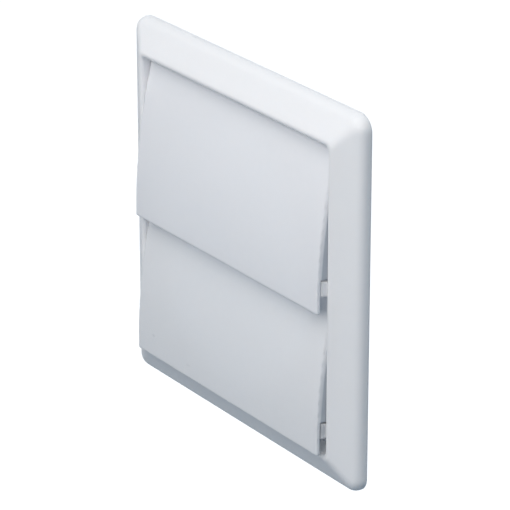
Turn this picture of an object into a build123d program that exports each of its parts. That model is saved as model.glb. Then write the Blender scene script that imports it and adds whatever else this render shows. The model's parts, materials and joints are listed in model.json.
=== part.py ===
from build123d import *
import os
from math import cos, radians, sin, sqrt, tan

# Gravity flap duct outlet in millimetres: a square wall bezel with a recess, a short round spigot
# behind it, and two bowed flaps that hang on stub pins one above the other.
# The wall plane is Y = 0, the front faces -Y, +Z is up, and the origin lies on the duct axis.

# Duct spigot
spigot_diameter = 99.0    # goes inside a 100 mm duct
spigot_wall = 2.0
spigot_length = 12.0
spigot_chamfer = 0.8

# Recess behind the flaps
recess_rim = 8.0          # from the spigot to the recess wall
floor_thickness = 2.0
opening_round = 1.8       # corners of the recess

# Bezel
border = 12.5             # from the recess wall to the outer side
slope = 29.0              # rise of the bezel towards the recess, degrees
side_height = 0.8         # straight part of the outer side
edge_round = 4.4          # from the outer side into the slope
corner_round = 6.0        # outline corners, seen from the front
mitre_round = 6.0         # along each mitre where two slopes meet
crest_flat = 0.2          # level top of the crest between its two rounds
land_round = 1.5          # from the slope onto the crest
crest_round = 1.2         # from the crest into the recess
wall = 2.0                # moulded wall over the hollow back
rib_thickness = 1.2
rib_pitch = 60.0
ribs_per_side = 2

# Wall screws through the recess floor
screw_hole = 4.5
screw_head = 6.4          # countersink
screw_inset = 10.0        # from the recess walls

# Hinge
pin_radius = 1.2
pin_clearance = 0.06      # radial, pin to socket
pin_end_gap = 0.3         # pin tip to the end of the socket
pin_root = 2.0            # pin inside the end of the flap
pin_chamfer = 0.3
bead_wall = 0.3           # bead along the top of the flap, outside the pin radius
rear_blend = 0.8          # from the bead into the back of the flap
front_blend = 8.0         # from the bead into the front of the flap
boss_wall = 1.9           # socket boss, outside the socket radius
boss_length = 1.5         # behind the recess wall
hinge_floor_gap = 0.7     # bead to recess floor
hinge_inset = 3.4         # hinge line below the top of the recess

# Flaps
flap_thickness = 1.7
flap_bow = 1.95           # rise of the curved front over its chord
flap_side_gap = 0.3       # flap to recess wall
flap_lap = 4.25           # flap below the next hinge line
sill_lap = 0.05           # lower flap below the bottom of the recess
flap_edge_round = 0.8     # lower edge
flap_side_round = 0.75
return_thickness = 1.6    # side returns that stiffen the flap and close the gap beside it
return_taper = 6.0        # back edge of a return behind the chord, degrees
return_gap = 0.6          # return to the stop lug below it
upper_lean = 7.2          # closed, from the vertical, degrees
lower_lean = 6.9

# Stop lugs on the recess walls, behind each flap
lug_reach = 3.0
lug_height = 5.5
lug_above_edge = 9.4      # lug centre above the lower edge of the flap
stop_gap = 0.2            # lug to flap when closed

# Sizes that follow
opening = spigot_diameter + 2 * recess_rim
opening_half = opening / 2
face = opening + 2 * border
half = face / 2
rise = tan(radians(slope))
shoulder = side_height + edge_round * tan(radians(90 - slope) / 2)
crest_land = land_round * tan(radians(slope) / 2) + crest_flat + crest_round
crest = shoulder + (border - crest_land) * rise
inner_half = half - wall
inner_drop = wall / cos(radians(slope))
inner_shoulder = shoulder + wall * rise - inner_drop
inner_crest_half = opening_half + crest_land - (inner_drop - wall) / rise
bore_radius = spigot_diameter / 2 - spigot_wall
screw_spacing = opening - 2 * screw_inset
bead_radius = pin_radius + bead_wall
socket_radius = pin_radius + pin_clearance
socket_depth = wall + boss_length
hinge_depth = floor_thickness + hinge_floor_gap + bead_radius
flap_pitch = (opening - hinge_inset - flap_lap + sill_lap) / 2
flap_drop = flap_pitch + flap_lap
flap_half = opening_half - flap_side_gap
flap_rear = bead_radius - flap_thickness
upper_hinge = opening_half - hinge_inset
lower_hinge = upper_hinge - flap_pitch
pin_length = flap_side_gap + socket_depth - pin_end_gap
flap_hangs = {"upper_flap": (upper_hinge, upper_lean), "lower_flap": (lower_hinge, lower_lean)}
hinge_points = [(-hinge_depth, upper_hinge), (-hinge_depth, lower_hinge)]
section_planes = [Plane.YZ, Plane(origin=(0, 0, 0), x_dir=(0, 1, 0), z_dir=(0, 0, 1))]


def slope_section(plane, outer_half, shoulder_depth, crest_depth, crest_half):
    # Section across the bezel: flat back, short sides, slopes up to the crest
    with BuildSketch(plane) as section:
        with BuildLine():
            Polyline(
                (0, -outer_half), (-shoulder_depth, -outer_half), (-crest_depth, -crest_half),
                (-crest_depth, crest_half), (-shoulder_depth, outer_half), (0, outer_half), close=True,
            )
        make_face()
    return section.sketch


def flap_plane(hinge, lean):
    # Plane across a flap: origin on its hinge line, x out of its front, y up along its chord
    tilt = radians(lean)
    return Plane(origin=(0, -hinge_depth, hinge), x_dir=(0, -cos(tilt), sin(tilt)), z_dir=(-1, 0, 0))


def bow(drop, start):
    # Height of the curved surface at a drop below the hinge line, where it starts at the height given
    along = 1 - 2 * drop / flap_drop
    return start + flap_bow * (1 - along * along)


def flap_profile(hinge, lean):
    # Section of a flap: two curved faces, a rounded lower edge and a hinge bead flush with the front
    front, rear = bead_radius, flap_rear
    with BuildSketch(flap_plane(hinge, lean)) as profile:
        with BuildLine():
            ThreePointArc((front, 0), (front + flap_bow, -flap_drop / 2), (front, -flap_drop))
            Line((front, -flap_drop), (rear, -flap_drop))
            ThreePointArc((rear, -flap_drop), (rear + flap_bow, -flap_drop / 2), (rear, 0))
            Line((rear, 0), (front, 0))
        make_face()
        fillet(profile.vertices().group_by(Axis.Y)[0], flap_edge_round)
        Circle(bead_radius)
        fillet(profile.vertices().filter_by_position(Axis.Y, -2 * bead_radius, -bead_radius / 2), rear_blend)
        at_bead = profile.vertices().filter_by_position(Axis.Y, -bead_radius / 2, bead_radius)
        fillet(at_bead.sort_by(Axis.X)[-1], front_blend)
    return profile.sketch


def return_profile(hinge, lean, across):
    # Section of a side return: from inside the curved wall back to a straight edge that tapers to the hinge
    end = flap_drop - lug_above_edge - lug_height / 2 - return_gap
    core = flap_rear + flap_thickness / 2
    with BuildSketch(flap_plane(hinge, lean).offset(-across)) as profile:
        with BuildLine():
            ThreePointArc((core, 0), (bow(end / 2, core), -end / 2), (bow(end, core), -end))
            Polyline((bow(end, core), -end), (-end * tan(radians(return_taper)), -end), (0, 0), (core, 0))
        make_face()
    return profile.sketch


def lug_profile(hinge, lean, across):
    # Section of a stop lug: it rises from the recess floor and its nose follows the back of the flap
    centre = flap_drop - lug_above_edge
    nose = flap_rear - stop_gap
    upper, lower = centre - lug_height / 2, centre + lug_height / 2
    root = -(hinge_depth + centre * sin(radians(lean)) - floor_thickness / 2) / cos(radians(lean))
    with BuildSketch(flap_plane(hinge, lean).offset(-across)) as profile:
        with BuildLine():
            ThreePointArc((bow(upper, nose), -upper), (bow(centre, nose), -centre), (bow(lower, nose), -lower))
            Polyline((bow(lower, nose), -lower), (root, -lower), (root, -upper), (bow(upper, nose), -upper))
        make_face()
    return profile.sketch


# Hollow behind the bezel, open at the wall, with the ribs and the socket bosses left standing in it
with BuildPart() as hollow:
    with BuildSketch(Plane.XZ):
        RectangleRounded(2 * inner_half, 2 * inner_half, corner_round - wall)
        RectangleRounded(opening + 2 * wall, opening + 2 * wall, opening_round + wall, mode=Mode.SUBTRACT)
        with GridLocations(rib_pitch, 0, ribs_per_side, 1):
            Rectangle(rib_thickness, face, mode=Mode.SUBTRACT)
        with GridLocations(0, rib_pitch, 1, ribs_per_side):
            Rectangle(face, rib_thickness, mode=Mode.SUBTRACT)
    extrude(amount=crest)
    for plane in section_planes:
        section = slope_section(plane, inner_half, inner_shoulder, crest - wall, inner_crest_half)
        extrude(section, amount=half, both=True, mode=Mode.INTERSECT)
    for side in (1, -1):
        with BuildSketch(Plane.YZ.offset(side * opening_half)):
            with Locations(*hinge_points):
                Circle(socket_radius + boss_wall)
        extrude(amount=side * socket_depth, mode=Mode.SUBTRACT)

# Frame: bezel, recess, spigot, pivot sockets and stop lugs in one moulding
with BuildPart() as frame:
    with BuildSketch(Plane.XZ):
        RectangleRounded(face, face, corner_round)
    extrude(amount=crest)
    for plane in section_planes:
        section = slope_section(plane, half, shoulder, crest, opening_half + crest_land)
        extrude(section, amount=half, both=True, mode=Mode.INTERSECT)

    # Mitres, then the edge of the crest, the outer edge and the crest round the recess
    sloping = frame.edges().filter_by(lambda edge: abs((edge % 0).X) > 0.5 and abs((edge % 0).Z) > 0.5)
    fillet(sloping.filter_by(GeomType.LINE), mitre_round)
    fillet(frame.edges().group_by(Axis.Y)[0], land_round)
    corner_rise = corner_round * (1 - sqrt(0.5)) * rise
    fillet(frame.edges().filter_by_position(Axis.Y, -shoulder - corner_rise, -shoulder), edge_round)
    with BuildSketch(Plane.XZ.offset(floor_thickness)):
        RectangleRounded(opening, opening, opening_round)
    extrude(amount=crest, mode=Mode.SUBTRACT)
    fillet(frame.edges().group_by(Axis.Y)[0], crest_round)

    # Spigot and duct bore
    with BuildSketch(Plane.XZ):
        Circle(spigot_diameter / 2)
    extrude(amount=-spigot_length)
    chamfer(frame.edges().group_by(Axis.Y)[-1], spigot_chamfer)
    with BuildSketch(Plane.XZ.offset(floor_thickness)):
        Circle(bore_radius)
    extrude(amount=-(floor_thickness + spigot_length), mode=Mode.SUBTRACT)

    # Countersunk wall screw holes
    with Locations(Plane.XZ.offset(floor_thickness)):
        with GridLocations(screw_spacing, screw_spacing, 2, 2):
            CounterSinkHole(screw_hole / 2, screw_head / 2, floor_thickness)

    # Hollow back, pivot sockets and stop lugs
    add(hollow.part, mode=Mode.SUBTRACT)
    for side in (1, -1):
        with BuildSketch(Plane.YZ.offset(side * flap_half)):
            with Locations(*hinge_points):
                Circle(socket_radius)
        extrude(amount=side * (flap_side_gap + socket_depth), mode=Mode.SUBTRACT)
        for hinge, lean in flap_hangs.values():
            lug = lug_profile(hinge, lean, side * (opening_half - lug_reach))
            extrude(lug, amount=-side * lug_reach)

os.makedirs("parts", exist_ok=True)
frame.part.label = "frame"
export_step(frame.part, "parts/frame.step")

# Flaps: the same bowed moulding twice, with side returns and a stub pin at each end of its hinge bead
for name, (hinge, lean) in flap_hangs.items():
    with BuildPart() as flap:
        extrude(flap_profile(hinge, lean), amount=flap_half, both=True)
        fillet(flap.faces().filter_by(Axis.X).edges(), flap_side_round)
        for side in (1, -1):
            side_return = return_profile(hinge, lean, side * (flap_half - return_thickness))
            extrude(side_return, amount=-side * return_thickness)
            with BuildSketch(Plane.YZ.offset(side * (flap_half - pin_root))):
                with Locations((-hinge_depth, hinge)):
                    Circle(pin_radius)
            extrude(amount=side * (pin_root + pin_length))
        tips = flap.edges().filter_by(GeomType.CIRCLE).group_by(Axis.X)
        chamfer(tips[0] + tips[-1], pin_chamfer)
    flap.part.label = name
    export_step(flap.part, f"parts/{name}.step")
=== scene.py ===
import json
import math
import bpy
import numpy as np
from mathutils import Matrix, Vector


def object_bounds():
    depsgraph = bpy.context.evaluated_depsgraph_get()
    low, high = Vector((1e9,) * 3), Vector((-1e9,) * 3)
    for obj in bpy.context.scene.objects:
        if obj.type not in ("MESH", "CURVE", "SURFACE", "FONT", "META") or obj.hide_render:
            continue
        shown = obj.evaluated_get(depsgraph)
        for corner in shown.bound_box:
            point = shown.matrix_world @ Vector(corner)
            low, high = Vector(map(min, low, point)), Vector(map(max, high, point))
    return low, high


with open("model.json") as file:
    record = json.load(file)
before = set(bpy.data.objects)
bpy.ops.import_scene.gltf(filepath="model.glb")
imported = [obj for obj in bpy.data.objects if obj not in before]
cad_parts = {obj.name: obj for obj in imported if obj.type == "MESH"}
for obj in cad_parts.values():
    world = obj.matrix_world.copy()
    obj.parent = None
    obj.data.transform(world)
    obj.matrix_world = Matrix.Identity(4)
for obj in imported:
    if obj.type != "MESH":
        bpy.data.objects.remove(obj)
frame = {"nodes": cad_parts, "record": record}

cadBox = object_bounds()
scene = bpy.context.scene
scene.view_settings.view_transform = "Standard"
nodes = frame["nodes"]
hingePoints = {joint["name"]: joint["pos_m"] for joint in frame["record"]["behaviour"]["joints"]}
print("frame loaded:", sorted(nodes))


def aim(thing, direction):
    # Turn a camera or a lamp so that it looks along a direction
    thing.rotation_mode = "QUATERNION"
    thing.rotation_quaternion = direction.to_track_quat("-Z", "Y")


def feed(tree, node, values):
    # A value is another node's output, which is linked, or a plain number, vector or colour, which is set
    for name, value in values.items():
        if isinstance(value, bpy.types.NodeSocket):
            tree.links.new(value, node.inputs[name])
        else:
            node.inputs[name].default_value = value


def addNode(tree, kind, values=None, **settings):
    node = tree.nodes.new("ShaderNode" + kind)
    for name, value in settings.items():
        setattr(node, name, value)
    feed(tree, node, values or {})
    return node


def numberMath(tree, operation, *terms):
    return addNode(tree, "Math", dict(enumerate(terms)), operation=operation).outputs["Value"]


def vectorMath(tree, operation, *terms):
    node = addNode(tree, "VectorMath", dict(enumerate(terms)), operation=operation)
    return node.outputs["Value" if operation in ("DOT_PRODUCT", "LENGTH") else "Vector"]


def mapRange(tree, value, fromMin, fromMax, toMin=0.0, toMax=1.0, curve="SMOOTHSTEP"):
    limits = {"From Min": fromMin, "From Max": fromMax, "To Min": toMin, "To Max": toMax}
    return addNode(tree, "MapRange", {"Value": value, **limits}, interpolation_type=curve).outputs["Result"]


# Camera: the photo looks down on the outlet from its right front
camera = dict(
    yaw=55.174, pitch=22.346,          # degrees round the object and above the horizon
    distance=1.1126,                   # metres from the target
    target=(0.00154, 0.0, -0.00252),
    lens=219.36, sensor=36.0,          # millimetres
    clipStart=0.01, clipEnd=50.0,
)


def makeCamera(c):
    yaw = math.radians(c["yaw"])
    pitch = math.radians(c["pitch"])
    back = Vector((math.sin(yaw) * math.cos(pitch), -math.cos(yaw) * math.cos(pitch), math.sin(pitch)))
    lensData = bpy.data.cameras.new("photoCamera")
    lensData.lens = c["lens"]
    lensData.sensor_width = c["sensor"]
    lensData.clip_start = c["clipStart"]
    lensData.clip_end = c["clipEnd"]
    eye = bpy.data.objects.new("photoCamera", lensData)
    eye.location = Vector(c["target"]) + back * c["distance"]
    aim(eye, -back)
    scene.collection.objects.link(eye)
    scene.camera = eye


# Light: a large soft lamp high in front, one further off behind, and a cool dim surround; metres and watts
studio = dict(
    lamps=dict(
        softKey=dict(
            towards=(0.24, -0.66, 0.74), distance=0.8, size=1.15, power=8.55, colour=(1.0, 0.96, 0.93),
        ),
        softBack=dict(
            towards=(-0.15, 0.95, 0.25), distance=1.2, size=1.2, power=9.0, colour=(0.95, 0.98, 1.0),
        ),
    ),
    fillColour=(0.51, 0.77, 1.0), fillStrength=0.215,
    backColour=(1.0, 1.0, 1.0), backStrength=1.0,        # the white that shows behind the outlet
)


def makeLight(s):
    for name, values in s["lamps"].items():
        lamp = bpy.data.lights.new(name, "AREA")
        lamp.shape = "SQUARE"
        lamp.size = values["size"]
        lamp.energy = values["power"]
        lamp.color = values["colour"]
        stand = bpy.data.objects.new(name, lamp)
        direction = Vector(values["towards"]).normalized()
        stand.location = direction * values["distance"]
        aim(stand, -direction)
        scene.collection.objects.link(stand)

    world = bpy.data.worlds.new("studio")
    world.use_nodes = True
    scene.world = world
    tree = world.node_tree
    tree.nodes.clear()
    fill = addNode(tree, "Background", {"Color": (*s["fillColour"], 1), "Strength": s["fillStrength"]})
    white = addNode(tree, "Background", {"Color": (*s["backColour"], 1), "Strength": s["backStrength"]})
    mix = addNode(tree, "MixShader", {0: seenDirectly(tree), 1: fill.outputs[0], 2: white.outputs[0]})
    addNode(tree, "OutputWorld", {"Surface": mix.outputs[0]})


def seenDirectly(tree):
    # 1 for rays that show the background itself: camera, glossy or transmission rays
    rays = addNode(tree, "LightPath").outputs
    first = numberMath(tree, "MAXIMUM", rays["Is Camera Ray"], rays["Is Glossy Ray"])
    return numberMath(tree, "MAXIMUM", first, rays["Is Transmission Ray"])


# Floor: a wide pale disc well below, as the outlet hangs on a wall; metres
floor = dict(
    drop=0.75, innerRadius=0.02, radius=6.0, rings=24, spokes=96,
    colour=(0.38, 0.44, 0.50),
    nearGlow=0.35, farGlow=1.0, nearRadius=0.7, farRadius=1.35,      # the pale floor turns white further off
)


def makeFloor(f):
    # Disc: x = r cos a, y = r sin a on a grid of radius r and angle a
    radius = np.linspace(f["innerRadius"], f["radius"], f["rings"])
    angle = np.linspace(0, 2 * math.pi, f["spokes"], endpoint=False)
    r, a = np.meshgrid(radius, angle, indexing="ij")
    height = np.full_like(r, cadBox[0].z - f["drop"])
    disc = ringPiece("paleFloor", np.stack([r * np.cos(a), r * np.sin(a), height], axis=-1))
    disc.data.materials.append(floorMaterial("paleFloor", f))


def ringPiece(name, points):
    # Quads between neighbours of a grid of points, whose last column joins the first
    rows, columns = points.shape[:2]
    index = np.arange(rows * columns).reshape(rows, columns)
    beside = np.roll(index, -1, axis=1)
    quads = np.stack([index[:-1], index[1:], beside[1:], beside[:-1]], axis=-1).reshape(-1, 4)
    mesh = bpy.data.meshes.new(name)
    mesh.from_pydata(points.reshape(-1, 3).tolist(), [], quads.tolist())
    piece = bpy.data.objects.new(name, mesh)
    scene.collection.objects.link(piece)
    return piece


def floorMaterial(name, f):
    # Diffuse, with a glow for the rays above that grows with the level distance from the middle
    material = bpy.data.materials.new(name)
    material.use_nodes = True
    tree = material.node_tree
    tree.nodes.clear()
    matt = addNode(tree, "BsdfDiffuse", {"Color": (*f["colour"], 1)})
    place = addNode(tree, "TexCoord").outputs["Object"]
    away = vectorMath(tree, "LENGTH", vectorMath(tree, "MULTIPLY", place, (1, 1, 0)))
    fade = mapRange(tree, away, f["nearRadius"], f["farRadius"], f["nearGlow"], f["farGlow"])
    glow = addNode(tree, "Emission", {"Strength": numberMath(tree, "MULTIPLY", fade, seenDirectly(tree))})
    both = addNode(tree, "AddShader", {0: matt.outputs[0], 1: glow.outputs[0]})
    addNode(tree, "OutputMaterial", {"Surface": both.outputs[0]})
    return material


# Shared effects
socketKinds = dict(vectors="NodeSocketVector", colours="NodeSocketColor", numbers="NodeSocketFloat")
speckAndShadeFade = dict(start=0.4, end=1.2)      # shares of a mark's reach


def newGroup(name, inputs, outputs):
    # Inputs and outputs list the names of the sockets of each kind
    group = bpy.data.node_groups.new(name, "ShaderNodeTree")
    for direction, sockets in (("INPUT", inputs), ("OUTPUT", outputs)):
        for kind, labels in sockets.items():
            for label in labels:
                group.interface.new_socket(label, in_out=direction, socket_type=socketKinds[kind])
    return group, group.nodes.new("NodeGroupInput").outputs, group.nodes.new("NodeGroupOutput")


def addNoise(tree, position, scale, detail, roughness):
    values = {"Vector": position, "Scale": scale, "Detail": detail, "Roughness": roughness}
    return addNode(tree, "TexNoise", values).outputs["Fac"]


def mixColour(tree, share, first, second):
    values = {"Factor": share, "A": first, "B": second}
    return addNode(tree, "Mix", values, data_type="RGBA").outputs["Result"]


def mouldedSkin():
    # Height = grain + share x wave: fine spark-eroded grain, and a slow wave where the plastic shrank
    group, given, result = newGroup(
        "mouldedSkin",
        dict(vectors=["Position"], numbers=["Grain Scale", "Wave Scale", "Wave Share"]),
        dict(numbers=["Height", "Sheen Shift"]),
    )
    grain = addNoise(group, given["Position"], given["Grain Scale"], detail=2.0, roughness=0.5)
    wave = addNoise(group, given["Position"], given["Wave Scale"], detail=1.0, roughness=0.4)
    height = numberMath(group, "MULTIPLY_ADD", wave, given["Wave Share"], grain)
    feed(group, result, {"Height": height, "Sheen Shift": wave})
    return group


def agedWhite():
    # Plain white mixed with a second one by slow clouds x fine mottle
    group, given, result = newGroup(
        "agedWhite",
        dict(vectors=["Position"], colours=["Plain", "Cloud"], numbers=["Cloud Scale", "Mottle Scale"]),
        dict(colours=["Color"]),
    )
    cloud = addNoise(group, given["Position"], given["Cloud Scale"], detail=4.0, roughness=0.55)
    mottle = addNoise(group, given["Position"], given["Mottle Scale"], detail=2.0, roughness=0.5)
    share = numberMath(group, "MULTIPLY", cloud, mottle)
    feed(group, result, {"Color": mixColour(group, share, given["Plain"], given["Cloud"])})
    return group


def slotPaintedShade():
    # Painted shade on the ends of a flap, behind its front, where they stand in the dark slots: amount x
    # sideways x deep.
    # The depth is (position - hinge) . rear + bow - bow t t, where t runs from -1 at the hinge to 1 at the
    # lower edge
    group, given, result = newGroup(
        "slotPaintedShade",
        dict(
            vectors=["Position", "Hinge", "Rear", "Down"],
            colours=["Color", "Painted Shade"],
            numbers=["Drop", "Bow", "Start", "Full", "Side Start", "Side Full", "Amount"],
        ),
        dict(colours=["Color"]),
    )
    fromHinge = vectorMath(group, "SUBTRACT", given["Position"], given["Hinge"])
    behind = vectorMath(group, "DOT_PRODUCT", fromHinge, given["Rear"])
    along = vectorMath(group, "DOT_PRODUCT", fromHinge, given["Down"])
    t = mapRange(group, along, 0.0, given["Drop"], -1.0, 1.0, curve="LINEAR")
    fall = numberMath(group, "MULTIPLY", numberMath(group, "MULTIPLY", t, t), given["Bow"])
    crown = numberMath(group, "SUBTRACT", given["Bow"], fall)
    deep = mapRange(group, numberMath(group, "ADD", behind, crown), given["Start"], given["Full"])
    across = addNode(group, "SeparateXYZ", {0: given["Position"]}).outputs["X"]
    fromMiddle = numberMath(group, "ABSOLUTE", across)
    sideways = mapRange(group, fromMiddle, given["Side Start"], given["Side Full"])
    share = numberMath(group, "MULTIPLY", numberMath(group, "MULTIPLY", sideways, deep), given["Amount"])
    feed(group, result, {"Color": mixColour(group, share, given["Color"], given["Painted Shade"])})
    return group


def speckAndShadeMark(fade):
    # Soft-edged mark, used for real specks and for painted shade: amount x mask, which falls from 1 to 0 as
    # |(position - centre) / reach| grows
    group, given, result = newGroup(
        "speckAndShadeMark",
        dict(vectors=["Position", "Centre", "Reach"], colours=["Color", "Speck And Shade"], numbers=["Amount"]),
        dict(colours=["Color"]),
    )
    offset = vectorMath(group, "SUBTRACT", given["Position"], given["Centre"])
    away = vectorMath(group, "LENGTH", vectorMath(group, "DIVIDE", offset, given["Reach"]))
    mask = mapRange(group, away, fade["start"], fade["end"], 1.0, 0.0)
    share = numberMath(group, "MULTIPLY", mask, given["Amount"])
    feed(group, result, {"Color": mixColour(group, share, given["Color"], given["Speck And Shade"])})
    return group


# White moulded plastic, one finish for each node; the grey on the flap ends behind the front is painted
# shade, where the ends stand in the dark slots
finishes = dict(
    frame=dict(
        plain=(0.926, 0.925, 0.938), cloud=(0.897, 0.898, 0.918), rough=(0.52, 0.62),
        specksAndShadeSpots=[      # painted shade on the two lower stop lugs, which stand in the dark slots at the lower flap's ends
            dict(centre=(-0.057, -0.0100, -0.0477), reach=(0.0010, 0.0019, 0.0045), amount=0.7),
            dict(centre=(0.057, -0.0100, -0.0477), reach=(0.0010, 0.0019, 0.0045), amount=0.7),
        ],
    ),
    upper_flap=dict(
        plain=(0.925, 0.931, 0.962), cloud=(0.89, 0.90, 0.937), rough=(0.54, 0.64),
        # painted shade on the flap's ends in the slot, then its hinge and lean
        slotShade=(0.48, 0.52, 0.57), hinge="upper_flap_hinge", lean=7.2,      # degrees from the vertical
    ),
    lower_flap=dict(
        # its whites are darker than the upper flap's: painted shade on the same white
        plain=(0.885, 0.893, 0.912), cloud=(0.85, 0.86, 0.885), rough=(0.54, 0.64),
        # painted shade on the flap's ends in the slot, then its hinge and lean
        slotShade=(0.48, 0.52, 0.57), hinge="lower_flap_hinge", lean=6.9,
        specksAndShadeSpots=[      # two faint marks low on the front
            dict(centre=(-0.0466, -0.0126, -0.0483), reach=(0.0011, 0.003, 0.0006), amount=0.18),
            dict(centre=(-0.0234, -0.0127, -0.0518), reach=(0.0016, 0.003, 0.0006), amount=0.12),
        ],
    ),
)
plastic = dict(
    gloss=0.3, bump=0.06, bumpHeight=0.0002,
    grainScale=2600.0, waveScale=28.0, waveShare=0.6,         # scales are waves in a metre
    cloudScale=20.0, mottleScale=420.0,
    softEdge=0.0009, softSamples=8,                           # metres over which the shading rounds an edge
    milky=0.25, passes=(2.6, 2.8, 3.0), passScale=0.001,      # light that goes millimetres into the white
    # painted shade on the flap ends: how much, and from what depth behind the front
    shadeAmount=0.85, shadeStart=-0.0003, shadeFull=0.0005,      # metres behind the curve through the hinge line
    sideStart=0.0568, sideFull=0.0571,                        # metres from the middle; a flap ends at 0.0572
    flapDrop=0.05795, flapBow=0.00195,                        # metres from hinge to lower edge, and of rise
    # grey of the real specks and of the painted shade on the lugs
    speckAndShadeColour=(0.45, 0.47, 0.50),
)


def addGroup(tree, group, position, values):
    return addNode(tree, "Group", {"Position": position, **values}, node_tree=group)


def plasticMaterial(name, finish, p, effects):
    material = bpy.data.materials.new(name)
    material.use_nodes = True
    tree = material.node_tree
    place = addNode(tree, "TexCoord").outputs["Object"]
    skin = addGroup(tree, effects["skin"], place, {
        "Grain Scale": p["grainScale"],
        "Wave Scale": p["waveScale"],
        "Wave Share": p["waveShare"],
    })
    colour = addGroup(tree, effects["white"], place, {
        "Plain": (*finish["plain"], 1),
        "Cloud": (*finish["cloud"], 1),
        "Cloud Scale": p["cloudScale"],
        "Mottle Scale": p["mottleScale"],
    }).outputs["Color"]
    # painted shade on the flap ends, where they stand in the dark slots
    if "slotShade" in finish:
        lean = math.radians(finish["lean"])
        colour = addGroup(tree, effects["slotShade"], place, {
            "Color": colour,
            "Painted Shade": (*finish["slotShade"], 1),
            "Hinge": hingePoints[finish["hinge"]],
            "Rear": (0, math.cos(lean), -math.sin(lean)),
            "Down": (0, -math.sin(lean), -math.cos(lean)),
            "Drop": p["flapDrop"],
            "Bow": p["flapBow"],
            "Start": p["shadeStart"],
            "Full": p["shadeFull"],
            "Side Start": p["sideStart"],
            "Side Full": p["sideFull"],
            "Amount": p["shadeAmount"],
        }).outputs["Color"]
    # real specks, and painted shade on the frame's lower lugs
    for mark in finish.get("specksAndShadeSpots", []):
        colour = addGroup(tree, effects["speckAndShadeEffect"], place, {
            "Color": colour,
            "Speck And Shade": (*p["speckAndShadeColour"], 1),
            "Centre": mark["centre"],
            "Reach": mark["reach"],
            "Amount": mark["amount"],
        }).outputs["Color"]
    edge = addNode(tree, "Bevel", {"Radius": p["softEdge"]}, samples=p["softSamples"])
    bump = addNode(tree, "Bump", {
        "Strength": p["bump"],
        "Distance": p["bumpHeight"],
        "Height": skin.outputs["Height"],
        "Normal": edge.outputs["Normal"],
    })
    feed(tree, tree.nodes["Principled BSDF"], {
        "Base Color": colour,
        "Roughness": mapRange(tree, skin.outputs["Sheen Shift"], 0.0, 1.0, *finish["rough"], curve="LINEAR"),
        "Normal": bump.outputs["Normal"],
        "Specular IOR Level": p["gloss"],
        "Subsurface Weight": p["milky"],
        "Subsurface Radius": p["passes"],
        "Subsurface Scale": p["passScale"],
    })
    return material


makeCamera(camera)
makeLight(studio)
makeFloor(floor)
print("camera, light and floor placed")

sharedEffects = dict(skin=mouldedSkin(), white=agedWhite(), slotShade=slotPaintedShade(), speckAndShadeEffect=speckAndShadeMark(speckAndShadeFade))
for nodeName, finish in finishes.items():
    piece = nodes[nodeName]
    piece.data.materials.clear()
    piece.data.materials.append(plasticMaterial(nodeName + "_plastic", finish, plastic, sharedEffects))
print("plastic finishes given to", len(finishes), "nodes")
